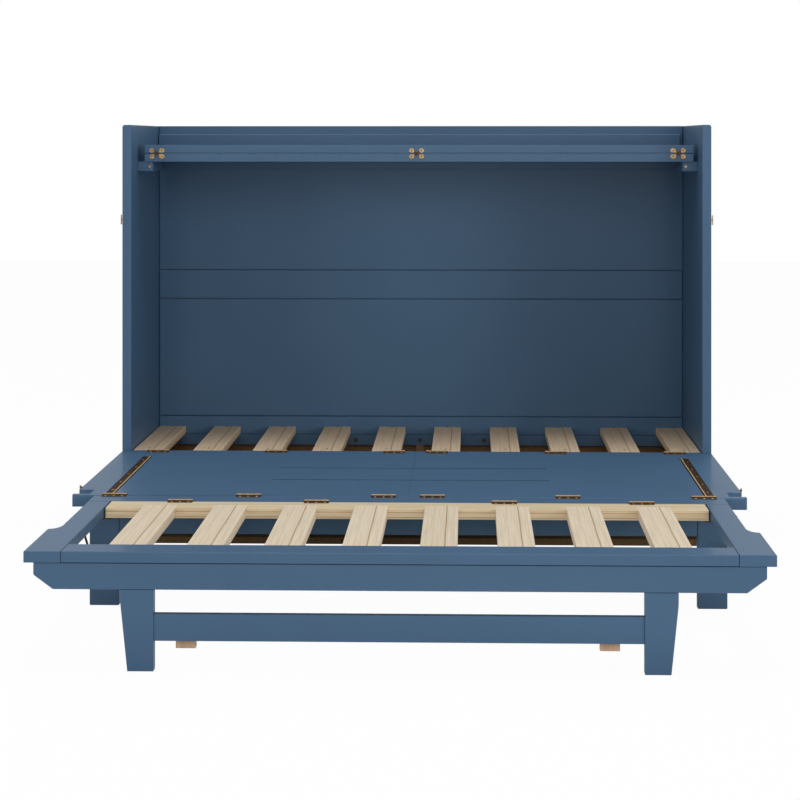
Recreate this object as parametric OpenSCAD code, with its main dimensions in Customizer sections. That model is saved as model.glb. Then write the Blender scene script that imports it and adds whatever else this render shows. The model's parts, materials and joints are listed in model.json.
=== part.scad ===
// Cabinet wall bed, shown opened out as a bed.
// X runs across the bed, Z is up, and the foot of the bed points to -Y.
// Pieces are placed by how far forward of the cabinet's front plane they lie.

/* [Cabinet] */
// Outer width of the cabinet and of the fold-down front
bed_w = 1626; // [1500:1:1800]
// Depth of the cabinet, front plane to back
cabinet_d = 570; // [520:1:640]
// Thickness of the two side panels
side_t = 25; // [20:1:30]
// Thickness of the back
back_t = 18; // [15:1:22]
// Height of the gallery that stands above the lid
gallery_h = 81.5; // [60:0.5:110]
// Bottom of the cross rail in the middle of the back
mid_rail_z = 637; // [560:1:700]
// Height of the cross rail in the middle of the back
mid_rail_h = 84; // [60:1:110]
// Top of the bottom rail of the back
bottom_rail_top = 281; // [270:1:320]
// Width of the shadow gaps between the boards of the back
back_gap_w = 3; // [1:0.5:5]
// Depth of those gaps
back_gap_d = 6; // [2:0.5:10]
// Thickness of the raw bottom board
bottom_t = 18; // [12:1:22]
// Height of the two ledgers that carry the rear slats
ledger_h = 30; // [24:1:40]
// Thickness of the rear ledger, the front rail and the cleats
ledger_t = 22; // [18:1:28]
// Height of the front rail that the rear slats end at
front_rail_h = 79; // [62:1:100]
// Width of the ledger behind the front rail
front_ledger_w = 70; // [56:1:90]
// Distance from the front ends of the rear slats to their screws
slat_screw_in = 45; // [12:1:50]
// Width of the prop under the middle of the ledger
prop_w = 24; // [20:1:40]
// Spacing of the bolts through the ledger
ledger_bolt_pitch = 192; // [160:1:220]
// Radius of the ledger bolts' heads
ledger_bolt_r = 5.5; // [4:0.5:7]

/* [Lid] */
// Thickness of the lid and its flap
lid_t = 21.5; // [18:0.5:28]
// How far the lid's front edge lies behind the front plane
lid_setback = 107; // [98:1:125]
// Gap between the lid's left end and the side panel
lid_gap_left = 21.5; // [8:0.5:24]
// Gap between the lid's right end and the side panel
lid_gap_right = 13.5; // [8:0.5:24]
// Gap between the folded flap and the lid
flap_gap = 3.5; // [3:0.5:6]
// Gap between the unfolded flap and the front plane
flap_clear = 3; // [2:1:8]
// Height of the strip along the back above the lid
gallery_strip_h = 57.5; // [40:0.5:60]
// Gap between that strip's left end and the side panel
strip_gap_left = 2.5; // [1:0.5:20]
// Gap between that strip's right end and the side panel
strip_gap_right = 11; // [1:0.5:20]
// Length of the side cleats under the lid
cleat_len = 186; // [140:1:240]
// Width of the side cleats under the lid
cleat_w = 44; // [38:1:46]
// Height of the cleats under the lid
cleat_h = 27; // [24:1:29]
// How far the side cleats start behind the lid's front edge
cleat_setback = 10; // [8:1:30]
// Radius of the side cleats' noses
cleat_nose_r = 6; // [4:1:16]
// Distance from a side cleat's inner side to its front screw
cleat_screw_in = 10; // [8:1:18]

/* [Front panel] */
// Height of the bed's top surface
deck_top = 251; // [240:1:280]
// Length of the front panel, hinge edge to crown edge
panel_len = 768; // [700:1:820]
// Thickness of the painted boards
board_t = 24; // [20:1:27]
// Width of the crown rail along the front panel's far edge
crown_w = 23; // [18:1:32]
// Thickness of the crown rail
crown_t = 28; // [25:1:34]
// How far the crown rail reaches past the front panel's sides
crown_over = 3; // [0:0.5:5]
// Corner radius of the crown rail
crown_r = 5; // [2:1:8]
// Length of the notches beside the crown rail
notch_len = 63; // [40:1:80]
// Width of the notches beside the crown rail
notch_w = 37; // [25:1:45]
// Length of the cross grooves in the front panel
groove_len = 702; // [500:1:900]
// Width of the grooves
groove_w = 6; // [2:0.5:8]
// Depth of the grooves
groove_d = 2; // [1:0.5:4]
// Distance from the front plane to the first groove
groove_first = 300; // [250:1:340]
// Distance between the two grooves
groove_pitch = 205; // [160:1:240]

/* [Edge strips] */
// Distance from the panel's side edge to the slot beside a strip
strip_inset = 97; // [88:1:120]
// Width of the strip's leaf
strip_w = 17; // [12:1:20]
// Where the strips start, from the front plane
strip_start = 100; // [60:1:150]
// Gap between the strips' ends and the crown rail
strip_end_gap = 2; // [1:1:60]
// Thickness of the strip's leaf
strip_t = 1.2; // [0.8:0.1:2]
// Width of the dark slot beside the strip
strip_slot_w = 3; // [2:0.5:5]
// Depth of that slot
strip_slot_d = 6; // [3:0.5:10]
// Radius of the strip's rolled edge
strip_roll_r = 1.6; // [1.2:0.1:2.2]
// Number of screws along a strip
strip_screws = 5; // [4:1:8]

/* [Spine and foot frame] */
// Gap between the foot frame's sides and the cabinet's inner faces
frame_side_gap = 27; // [16:1:36]
// Width of the spine, between its two hinge rows
spine_w = 83; // [76:1:86]
// Thickness of the spine and the slats
timber_t = 22; // [18:1:25]
// Length of the foot frame
foot_len = 655; // [600:1:720]
// Width of the foot frame's side rails
rail_w = 53; // [44:1:64]
// How far the ears stop short of the cabinet's inner faces
ear_clear = 2; // [2:0.5:8]
// Length of the ears, from where their curve starts to the foot
ear_len = 324; // [290:1:340]
// Length of the ear's curve
ear_curve_len = 51; // [30:1:70]
// Width of the front rail
foot_rail_w = 88; // [70:1:110]
// Height of the apron under the front rail
apron_h = 56; // [40:1:64]
// How far the apron's ends reach past the foot frame's sides
apron_over = 5; // [0:1:8]
// Thickness of the apron and the front legs
apron_t = 28; // [24:1:32]
// How far the front rail overhangs the apron
apron_setback = 4; // [0:1:10]
// How far the apron's corner is cut back across
apron_cut_x = 41; // [20:1:60]
// How far the apron's corner is cut back upward
apron_cut_z = 30; // [20:1:38]
// Width of the beam that the front slats start from
beam_w = 93; // [75:1:110]
// Gap between the beam's ends and the side rails
beam_end_gap = 3.5; // [3.5:0.5:14]

/* [Slats] */
// Width of a slat
slat_w = 79; // [60:1:100]
// Gap between the outermost rear slats and the side panels
slat_end_gap = 2.8; // [1:0.1:20]
// Number of slats in the cabinet
rear_slats_n = 10; // [8:1:10]
// Number of slats in the foot frame
foot_slats_n = 8; // [6:1:8]
// Length of the lap of a front slat on its beam
lap_len = 48; // [30:1:60]
// Depth of that lap
lap_d = 11; // [8:1:14]
// Width of the cleat that carries the front slats' far ends
foot_cleat_w = 26; // [20:1:36]

/* [Legs] */
// Width of a middle post
post_w = 71; // [60:1:90]
// Thickness of a middle post
post_t = 24; // [20:1:28]
// How far the posts are set in from the frame's edge
post_inset = 1; // [1:0.5:4]
// Height of the apron between the posts
mid_apron_h = 55; // [40:1:80]
// Thickness of that apron
mid_apron_t = 20; // [14:1:22]
// How far that apron is set back behind the posts' faces
mid_apron_inset = 2; // [1:1:6]
// Clearance of a folded post below the side cleats
relief_clear = 5; // [3:1:12]
// Distance from the foot frame's side to a front leg's outer face
front_leg_inset = 178; // [120:1:240]
// Width of a front leg at its top
front_leg_w = 70; // [55:1:85]
// How much narrower a front leg is at the floor
front_leg_taper = 15; // [0:1:25]
// Bottom of the stretcher between the front legs
stretcher_z = 63.5; // [45:0.5:80]
// Height of the stretcher
stretcher_h = 56.5; // [40:0.5:80]
// Thickness of the stretcher
stretcher_t = 20; // [15:1:24]
// How far the stretcher is set back from the legs' faces
stretcher_inset = 3; // [1:1:6]
// Distance from a front leg's inner face to the middle of a stretcher block
block_inset = 68; // [50:1:160]
// How far the blocks sit to the left of their places
block_shift = 3; // [0:1:10]
// Width of a stretcher block
block_w = 57; // [40:1:70]
// Step in from a stretcher block's sides to its foot
block_step = 7.5; // [3:0.5:12]
// Depth of a stretcher block
block_d = 20; // [14:1:26]
// How far a stretcher block hangs below the stretcher
block_drop = 19.5; // [8:0.5:24]
// How far a stretcher block's top lies below the stretcher's
block_top_drop = 15; // [6:1:24]

/* [Hinges] */
// Gap between boards that a hinge joins edge to edge
seam = 3; // [2.8:0.1:4]
// Length of a butt hinge
hinge_len = 59; // [45:1:75]
// Length of an outer knuckle of a butt hinge
knuckle_len = 18; // [12:1:20]
// Radius of a butt hinge's barrel
barrel_r = 3; // [2.6:0.1:3.4]
// Radius of a hinge pin
pin_r = 1.5; // [1.2:0.1:1.8]
// Thickness of a hinge leaf
leaf_t = 1.2; // [0.8:0.1:1.3]
// Reach of a hinge leaf from its pin
leaf_reach = 18; // [14:1:20]
// Gap end to end between knuckles
knuckle_gap = 0.3; // [0.2:0.05:0.6]
// Running clearance round a pin
fit = 0.05; // [0.02:0.01:0.1]
// Distance from the centre line to the inner hinges of the panel and spine rows
row_first_x = 59; // [45:1:80]
// Distance from the spine's end to the middle of those rows' outermost hinges
row_end_inset = 49; // [40:1:90]
// Distance from the centre line to the inner hinges of the foot row
foot_row_x = 223; // [180:1:260]
// Distance from the spine's end to the middle of the foot row's outermost hinges
foot_row_end_inset = 213; // [150:1:260]
// How far the foot row sits to the right of the middle
foot_row_shift = 8; // [0:1:12]
// Length of a leg hinge
leg_hinge_len = 34; // [28:1:34]
// How far the middle legs' hinge pins lie behind the foot frame
mid_hinge_back = 9; // [8:0.5:12]

/* [Lid hinges] */
// Distance from the side panels to the middle of the lid's outer hinges
lid_hinge_inset = 56.5; // [50:0.5:140]
// Spacing of a lid hinge's lobes, side to side
lobe_pitch_x = 27.5; // [22:0.5:32]
// Spacing of a lid hinge's lobes, up and down
lobe_pitch_z = 16.8; // [15:0.1:19]
// Radius of a lobe's ends
lobe_r = 6; // [4:0.5:6.5]
// How far a lobe's ends lie to either side of its middle
lobe_stretch = 1.5; // [0.5:0.5:3]
// Radius of the lid hinge's barrel
lid_barrel_r = 1.8; // [1.5:0.1:2]
// Length of the lid hinge's barrel
lid_barrel_len = 9; // [6:1:12]
// Radius of the lid hinge's pin
lid_pin_r = 0.9; // [0.7:0.1:1]

/* [Side catches] */
// How far the catches on the cabinet's sides lie below the lid
catch_drop = 160; // [130:1:200]
// Height of a catch plate
catch_h = 27; // [22:1:34]
// Depth of a catch plate
catch_d = 14; // [12:1:20]
// How far the catch stud lies behind the front plane
catch_setback = 17; // [12:1:24]
// Thickness of a catch plate
catch_t = 1.8; // [1.2:0.1:2]
// Radius of the catch stud
catch_stud_r = 2.2; // [1.5:0.1:3]
// Thickness of the bar at the stud's outer end
catch_bar_t = 1.2; // [0.8:0.1:1.2]
// Length of the hook, pivot to stud
hook_len = 48; // [40:1:56]
// Height of the hook's pivot below the bed's top surface
hook_drop = 12; // [8:1:14]
// Width of the hook's arm
hook_w = 8; // [6:0.5:9]
// Thickness of the hook's arm
hook_t = 2; // [1.5:0.1:3]
// Angle through which the hook swings to engage
hook_swing = 28; // [20:0.5:32]

/* [Leg stays] */
// Distance from the foot frame's hinged edge to the stay's bolt on its side rail
stay_bolt_in = 118; // [105:1:150]
// How far that bolt lies below the bed's top surface
stay_bolt_drop = 13; // [11:1:15]
// Distance from the second bolt on the side rail to the start of the ear
stop_bolt_gap = 53; // [20:1:60]
// How far the stud on a middle post lies behind the post's front face
stay_stud_in = 10; // [8:1:14]
// How far that stud lies below the post's hinge pin
stay_stud_drop = 92; // [80:1:100]
// Width of the stay
stay_w = 10; // [9:0.5:13]
// Thickness of the stay
stay_t = 2.4; // [1.5:0.1:3]
// Radius of the stay's bolts
stay_bolt_r = 3; // [2:0.1:4]

/* [Hidden] */
$fn = 48;

// Clear gap where one body only rests on another
seat_gap = 0.3;
// Length of the straight part at a front leg's top
leg_shoulder = 25;
// How far a stretcher block's wide part hangs below the stretcher
block_lip = 2;
// Thickness of a bolt's head
bolt_head_t = 3;
// How far a bolt's head overhangs its shank
bolt_head_rim = 3;
// How far a stud stands out past the piece that hooks on it
stud_proud = 1;
// Clear gap between the folded spine and the lid
fold_clear = 2;
// Cut overshoot
eps = 1;
// Radius of the small screws' heads
screw_r = 3;
// Radius of the side cleats' screw heads
cleat_screw_r = 3.8;
// Height of the small screws' heads
screw_head_t = 0.8;
// Depth of the holes for the ledger bolts' heads
ledger_sink = 3;
// How deep the ledger bolts' heads lie in those holes
ledger_bolt_sunk = 0.5;
// Clear gap round a ledger bolt's head
ledger_bolt_gap = 1;
// Where the ledger's bolts sit, in steps of their pitch from the middle
ledger_bolts = [-3, -1, 0, 1, 3];
// Gap between a hinge's barrel and the flat of its leaf
leaf_root_gap = 0.3;
// How far a folded post lies inboard of the side cleats
relief_side_clear = 3;
// Distance from a middle leg's hinge to the side of the post's narrow top
mid_hinge_margin = 1;
// Depth of the recess for an edge strip's leaf
strip_recess = 1.6;
// Clear gap round an edge strip's leaf
strip_gap = 0.3;

// Stations forward of the cabinet's front plane
panel_y0 = seam;
panel_y1 = panel_y0 + panel_len;
crown_y0 = panel_y1 - crown_w;
notch_y0 = crown_y0 - notch_len;
spine_y0 = panel_y1 + seam;
spine_y1 = spine_y0 + spine_w;
foot_y0 = spine_y1 + seam;
foot_y1 = foot_y0 + foot_len;
foot_rail_y0 = foot_y1 - foot_rail_w;
front_y = (foot_y1 - cabinet_d) / 2;
ear_start = foot_y1 - ear_len;
strip_len = crown_y0 - strip_end_gap - strip_start;

// Hinge axes of the three fold lines
fold_z = deck_top + barrel_r;
panel_axis_y = seam / 2;
spine_axis_y = panel_y1 + seam / 2;
foot_axis_y = spine_y1 + seam / 2;

// Levels
board_z = deck_top - board_t;
timber_z = deck_top - timber_t;
crown_z = deck_top - crown_t;
lid_z = fold_z + spine_axis_y - panel_axis_y + barrel_r + timber_t + fold_clear;
lid_top = lid_z + lid_t;
cabinet_h = lid_top + gallery_h;
ledger_z = timber_z - ledger_h;
apron_z = board_z - apron_h;
catch_z = lid_z - catch_drop;

// Across the bed
half_w = bed_w / 2;
inner_w = half_w - side_t;
frame_half = inner_w - frame_side_gap;
ear_half = inner_w - ear_clear;
rail_inner = frame_half - rail_w;
lid_x0 = -inner_w + lid_gap_left;
lid_x1 = inner_w - lid_gap_right;
lid_hinge_x = inner_w - lid_hinge_inset;
crown_half = half_w + crown_over;
apron_half = frame_half + apron_over;
strip_x = half_w - strip_inset;
slat_pitch = 2 * (inner_w - slat_end_gap - slat_w / 2) / (rear_slats_n - 1);
row_pitch = (frame_half - row_end_inset - row_first_x) / 2;
foot_row_pitch = frame_half - foot_row_end_inset - foot_row_x;
back_y = -(cabinet_d - back_t);
rear_y = -cabinet_d;

// Leg hinges
mid_axis_y = foot_y0 - mid_hinge_back;
mid_axis_z = board_z - barrel_r;
post_y1 = mid_axis_y - barrel_r;
post_top = timber_z - seat_gap;
post_x1 = frame_half - post_inset;
post_x0 = post_x1 - post_w;
relief_x = inner_w - cleat_w - relief_side_clear;
cleat_reach = cleat_h - timber_t - barrel_r - fold_clear;
relief_z = mid_axis_z - (foot_axis_y - mid_axis_y) - cleat_reach - relief_clear;
mid_hinge_x = relief_x - mid_hinge_margin - leg_hinge_len / 2;
front_leg_x = frame_half - front_leg_inset - front_leg_w;
front_hinge_x = front_leg_x + front_leg_w / 2;
block_x = front_leg_x - block_inset;
leg_y1 = foot_y1 - apron_setback;
leg_y0 = leg_y1 - apron_t;
leg_top = apron_z - seat_gap;
front_axis_y = leg_y0 - barrel_r;
front_axis_z = apron_z - seat_gap / 2;
stretcher_y1 = leg_y1 - stretcher_inset;
stretcher_y0 = stretcher_y1 - stretcher_t;

// Brackets under the beam
bracket_setback = 20;
bracket_w = 36;
bracket_lap = 26;
bracket_t = 3;
bracket_drop = 3;

// Lid flap
lobe_t = 1.2;
lobe_offset = 0.3;
lobe_hole_r = 1.8;
strap_w = 2.5;
lid_axis_y = -lid_setback + lobe_offset + lobe_t;
lid_axis_z = lid_top + flap_gap / 2;
flap_z = lid_top + flap_gap;
flap_d = lid_setback - 2 * (lobe_offset + lobe_t) - flap_clear;
lid_knuckle_len = (lid_barrel_len - 2 * knuckle_gap) / 3;

// Side hooks: the stud's place in the front panel's own frame when it is shut
stud_y_shut = panel_axis_y + catch_z - fold_z;
stud_z_shut = fold_z + panel_axis_y + catch_setback;
hook_z = deck_top - hook_drop;
hook_angle = asin((stud_z_shut - hook_z) / hook_len);
hook_y = stud_y_shut - hook_len * cos(hook_angle);
hook_pin_r = 2;
hook_stand_off = 0.6;
hook_washer_t = catch_t + hook_stand_off;
hook_fit = 0.4;
hook_head_t = 1.6;
hook_eye_rim = 1;
hook_end_wall = 2.5;
catch_bar_x = half_w + hook_washer_t + hook_t + hook_fit;

// Leg stays
washer_t = 1;
stay_eye_rim = 1;
stay_hook_rim = 2;
stay_x = frame_half + washer_t;
stay_bolt_y = foot_y0 + stay_bolt_in;
stay_bolt_z = deck_top - stay_bolt_drop;
stop_bolt_y = ear_start - stop_bolt_gap;
stay_stud_y = post_y1 - stay_stud_in;
stay_stud_z = mid_axis_z - stay_stud_drop;
stay_len = sqrt(pow(stay_bolt_y - stay_stud_y, 2) + pow(stay_bolt_z - stay_stud_z, 2));
stay_angle = atan2(stay_bolt_z - stay_stud_z, stay_bolt_y - stay_stud_y);

// Colours
paint = [0.27, 0.38, 0.50];
pine = [0.82, 0.74, 0.60];
raw_brown = [0.30, 0.20, 0.12];
brass = [0.72, 0.52, 0.28];
bronze = [0.34, 0.25, 0.16];
dark_steel = [0.16, 0.14, 0.13];

// A block between two corners: across, forward of the front plane, and up
module block(x0, x1, y0, y1, z0, z1) {
    translate([x0, front_y - y1, z0])
        cube([x1 - x0, y1 - y0, z1 - z0]);
}

// Moves a piece drawn at the origin to a place across, forward and up
module place(x, y, z) {
    translate([x, front_y - y, z])
        children();
}

// A plate of an outline drawn across and forward, between two levels
module plan_plate(z0, z1) {
    translate([0, front_y, z0])
        mirror([0, 1, 0])
            linear_extrude(z1 - z0)
                children();
}

// A cylinder along X
module x_rod(x0, x1, r) {
    translate([x0, 0, 0])
        rotate([0, 90, 0])
            cylinder(h = x1 - x0, r = r);
}

// Repeats a piece for both sides of the bed
module both_sides() {
    children();
    mirror([1, 0, 0])
        children();
}

// One knuckle with its bore, along X round the origin
module knuckle(x0, x1, web_lo, web_hi, gap_u) {
    difference() {
        union() {
            x_rod(x0, x1, barrel_r);
            translate([x0, web_lo, -gap_u])
                cube([x1 - x0, web_hi - web_lo, gap_u]);
        }
        x_rod(x0 - eps, x1 + eps, pin_r + fit);
    }
}

// A butt hinge leaf that hangs below its pin, its plate between two offsets
module hinge_leaf(len, outer, offset_lo, offset_hi, reach = leaf_reach) {
    root = barrel_r + leaf_root_gap;
    half = len / 2;
    short_knuckle = min(knuckle_len, len / 3);
    inner_half = half - short_knuckle - knuckle_gap;
    translate([-half, offset_lo, -reach])
        cube([len, offset_hi - offset_lo, reach - root]);
    if (outer) {
        knuckle(-half, -half + short_knuckle, offset_lo, offset_hi, root);
        knuckle(half - short_knuckle, half, offset_lo, offset_hi, root);
    } else {
        knuckle(-inner_half, inner_half, offset_lo, offset_hi, root);
    }
}

// The pin of a butt hinge, with a head at each end
module hinge_pin(len) {
    half = len / 2 + fit;
    head = 0.8;
    x_rod(-half - head, -half, pin_r + head);
    x_rod(-half, half, pin_r);
    x_rod(half, half + head, pin_r + head);
}

// Places children at each hinge of the panel and spine rows
module along_row() {
    for (x = [-2.5:1:2.5])
        translate([sign(x) * (row_first_x + (abs(x) - 0.5) * row_pitch), 0, 0])
            children();
}

// Places children at each hinge of the foot row
module along_foot_row() {
    for (x = [-1.5:1:1.5])
        translate([foot_row_shift + sign(x) * (foot_row_x + (abs(x) - 0.5) * foot_row_pitch), 0, 0])
            children();
}

// A hinge leaf that lies flat on the board ahead of its pin
module flat_leaf(len, outer) {
    rotate([-90, 0, 0])
        hinge_leaf(len, outer, barrel_r - leaf_t, barrel_r);
}

// Fixed leaf of a hinge over a seam, flat on the board behind it, with its pin
module seam_leaf_behind(len) {
    mirror([0, 1, 0])
        flat_leaf(len, true);
    hinge_pin(len);
}

// Moving leaf of a hinge over a seam, flat on the board in front of it
module seam_leaf_ahead(len) {
    flat_leaf(len, false);
}

// A board of the back, stepped back at its ends and where a shadow gap shows
module back_board(z0, z1, gap_lo, gap_hi) {
    face_x = inner_w - back_gap_w;
    color(paint)
        union() {
            block(-inner_w, inner_w, rear_y, back_y - back_gap_d, z0, z1);
            block(-face_x, face_x, rear_y, back_y, z0 + gap_lo, z1 - gap_hi);
        }
}

// Cabinet

module side_panel(side) {
    x0 = side > 0 ? inner_w : -half_w;
    color(paint)
        block(x0, x0 + side_t, rear_y, 0, 0, cabinet_h);
}

module back_upper_panel() {
    back_board(mid_rail_z + mid_rail_h, cabinet_h, back_gap_w, 0);
}

module back_mid_rail() {
    back_board(mid_rail_z, mid_rail_z + mid_rail_h, 0, 0);
}

module back_lower_panel() {
    back_board(bottom_rail_top, mid_rail_z, back_gap_w, back_gap_w);
}

module back_bottom_rail() {
    back_board(ledger_z, bottom_rail_top, 0, 0);
}

module back_hardboard() {
    color(raw_brown)
        block(-inner_w, inner_w, rear_y, back_y, 0, ledger_z);
}

module bottom_board() {
    color(raw_brown)
        block(-inner_w, inner_w, back_y, 0, 0, bottom_t);
}

module gallery_strip() {
    color(paint)
        block(
            -inner_w + strip_gap_left, inner_w - strip_gap_right, back_y, back_y + back_t,
            lid_top, lid_top + gallery_strip_h
        );
}

module lid_board() {
    color(paint)
        block(lid_x0, lid_x1, back_y, -lid_setback, lid_z, lid_top);
}

module lid_back_cleat() {
    color(paint)
        block(lid_x0, lid_x1, back_y, back_y + ledger_t, lid_z - cleat_h, lid_z);
}

module lid_cleat(side) {
    y1 = -lid_setback - cleat_setback;
    nose = min(cleat_nose_r, cleat_w - 2);
    color(paint)
        mirror([side > 0 ? 0 : 1, 0, 0])
            plan_plate(lid_z - cleat_h, lid_z)
                difference() {
                    translate([inner_w - cleat_w, y1 - cleat_len])
                        square([cleat_w, cleat_len]);
                    difference() {
                        translate([inner_w - cleat_w - eps, y1 - nose])
                            square([nose + eps, nose + eps]);
                        translate([inner_w - cleat_w + nose, y1 - nose])
                            circle(r = nose);
                    }
                }
}

module slat_ledger() {
    y1 = back_y + ledger_t;
    color(paint)
        difference() {
            block(-inner_w, inner_w, back_y, y1, ledger_z, timber_z);
            for (n = ledger_bolts)
                place(n * ledger_bolt_pitch, y1 - ledger_sink, ledger_z + ledger_h / 2)
                    rotate([90, 0, 0])
                        cylinder(h = ledger_sink + eps, r = ledger_bolt_r + ledger_bolt_gap);
        }
}

module ledger_prop() {
    y0 = back_y;
    color(pine)
        block(-prop_w / 2, prop_w / 2, y0, y0 + ledger_t, bottom_t, ledger_z);
}

module slat_front_rail() {
    color(paint)
        block(-inner_w, inner_w, -ledger_t, 0, deck_top - front_rail_h, deck_top);
}

module slat_front_ledger() {
    y1 = -ledger_t;
    color(pine)
        block(-inner_w, inner_w, y1 - front_ledger_w, y1, ledger_z, timber_z);
}

module rear_slats() {
    color(pine)
        for (n = [0:1:rear_slats_n - 1])
            translate([(n - (rear_slats_n - 1) / 2) * slat_pitch, 0, 0])
                block(-slat_w / 2, slat_w / 2, back_y, -ledger_t, timber_z, deck_top);
}

// A plate and an outer bar on each side, joined by the stud that the hook catches
module side_catches() {
    color(brass)
        both_sides() {
            for (bar = [[half_w, catch_t], [catch_bar_x, catch_bar_t]])
                block(
                    bar[0], bar[0] + bar[1],
                    -catch_setback - catch_d / 2, -catch_setback + catch_d / 2,
                    catch_z - catch_h / 2, catch_z + catch_h / 2
                );
            place(0, -catch_setback, catch_z)
                x_rod(half_w, catch_bar_x + catch_bar_t, catch_stud_r);
        }
}

// A flat plate of an outline drawn across and up, reaching back from Y = 0
module upright_plate(t) {
    translate([0, t, 0])
        rotate([90, 0, 0])
            linear_extrude(t)
                children();
}

// Half of a lid hinge: two oval lobes and the strap that joins them to the pin
module lobe_plate(up) {
    x = lobe_pitch_x / 2;
    z = up * lobe_pitch_z / 2;
    root = up * (lid_barrel_r + leaf_root_gap);
    strap = up * strap_w;
    neck = lid_barrel_len / 2;
    upright_plate(lobe_t)
        difference() {
            union() {
                polygon([
                    [-neck, root], [neck, root], [x, z - strap], [x, z + strap],
                    [0, root + strap], [-x, z + strap], [-x, z - strap]
                ]);
                for (s = [-1, 1], end = [-lobe_stretch, lobe_stretch])
                    translate([s * x + end, z])
                        circle(r = lobe_r);
                for (s = [-1, 1])
                    translate([s * x - lobe_stretch, z - lobe_r])
                        square([2 * lobe_stretch, 2 * lobe_r]);
            }
            for (s = [-1, 1])
                translate([s * x, z])
                    circle(r = lobe_hole_r);
        }
}

// A knuckle of a lid hinge, with its strap to the plate above or below
module lid_knuckle(x0, x1, up) {
    reach = lid_barrel_r + leaf_root_gap + strap_w / 2;
    difference() {
        union() {
            x_rod(x0, x1, lid_barrel_r);
            translate([x0, lobe_offset, up > 0 ? 0 : -reach])
                cube([x1 - x0, lobe_t, reach]);
        }
        x_rod(x0 - eps, x1 + eps, lid_pin_r + fit);
    }
}

// Places children at each lid hinge
module along_lid() {
    for (x = [-lid_hinge_x, 0, lid_hinge_x])
        place(x, lid_axis_y, lid_axis_z)
            children();
}

module lid_hinge_fixed_plates() {
    half = lid_barrel_len / 2;
    color(brass)
        along_lid() {
            translate([0, lobe_offset, 0])
                lobe_plate(-1);
            lid_knuckle(-half, -half + lid_knuckle_len, -1);
            lid_knuckle(half - lid_knuckle_len, half, -1);
            x_rod(-half, half, lid_pin_r);
        }
}

module lid_hinge_flap_plates() {
    half = lid_knuckle_len / 2;
    color(brass)
        along_lid() {
            translate([0, lobe_offset, 0])
                lobe_plate(1);
            lid_knuckle(-half, half, 1);
        }
}

// Screws in the lid cleats and the rear slats, and the bolts of the ledger
module cabinet_fasteners() {
    cleat_mid_z = lid_z - cleat_h / 2;
    cleat_front_y = -lid_setback - cleat_setback;
    ledger_face_y = back_y + ledger_t;
    color(brass)
        both_sides() {
            place(inner_w - cleat_w + cleat_screw_in, cleat_front_y, cleat_mid_z)
                rotate([90, 0, 0])
                    cylinder(h = screw_head_t, r = cleat_screw_r);
            place(inner_w - cleat_w, cleat_front_y - cleat_len / 2, cleat_mid_z)
                x_rod(-screw_head_t, 0, cleat_screw_r);
        }
    color(dark_steel)
        for (n = ledger_bolts)
            place(n * ledger_bolt_pitch, ledger_face_y - ledger_sink, ledger_z + ledger_h / 2)
                rotate([90, 0, 0])
                    cylinder(h = ledger_sink - ledger_bolt_sunk, r = ledger_bolt_r);
    color(dark_steel)
        for (n = [0:1:rear_slats_n - 1], y = [-ledger_t - slat_screw_in, back_y + ledger_t / 2])
            place((n - (rear_slats_n - 1) / 2) * slat_pitch, y, deck_top)
                cylinder(h = screw_head_t, r = screw_r);
}

module panel_hinge_cabinet_leaves() {
    color(bronze)
        place(0, panel_axis_y, fold_z)
            along_row()
                seam_leaf_behind(hinge_len);
}

module lid_flap() {
    color(paint)
        block(lid_x0, lid_x1, -lid_setback - flap_d, -lid_setback, flap_z, flap_z + lid_t);
}

// One half of the fold-down front, on the side given
module front_panel(side) {
    slot_x1 = strip_x + strip_slot_w;
    leaf_x1 = slot_x1 + 2 * strip_roll_r + strip_w;
    color(paint)
        mirror([side > 0 ? 0 : 1, 0, 0])
            difference() {
                block(0, half_w, panel_y0, crown_y0, board_z, deck_top);
                block(
                    half_w - notch_w, half_w + eps, notch_y0, crown_y0 + eps,
                    board_z - eps, deck_top + eps
                );
                for (n = [0, 1])
                    block(
                        -eps, groove_len / 2,
                        groove_first + n * groove_pitch - groove_w / 2,
                        groove_first + n * groove_pitch + groove_w / 2,
                        deck_top - groove_d, deck_top + eps
                    );
                block(
                    slot_x1 - eps, leaf_x1, strip_start, strip_start + strip_len,
                    deck_top - strip_recess, deck_top + eps
                );
                block(
                    strip_x, slot_x1, strip_start, strip_start + strip_len,
                    deck_top - strip_slot_d, deck_top + eps
                );
            }
}

module crown_rail() {
    c = crown_r;
    color(paint)
        plan_plate(crown_z, deck_top)
            union() {
                translate([-crown_half, crown_y0])
                    square([2 * crown_half, crown_w - c]);
                translate([-crown_half + c, crown_y0])
                    square([2 * (crown_half - c), crown_w]);
                for (s = [-1, 1])
                    translate([s * (crown_half - c), panel_y1 - c])
                        circle(r = c);
            }
}

module edge_strips() {
    roll_x = strip_x + strip_slot_w + strip_roll_r;
    y0 = strip_start + strip_gap;
    y1 = strip_start + strip_len - strip_gap;
    z0 = deck_top - strip_recess;
    color(bronze)
        both_sides() {
            block(roll_x, roll_x + strip_roll_r + strip_w - strip_gap, y0, y1, z0, z0 + strip_t);
            translate([roll_x, front_y - y0, z0 + strip_roll_r])
                rotate([90, 0, 0])
                    cylinder(h = y1 - y0, r = strip_roll_r);
        }
}

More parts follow.
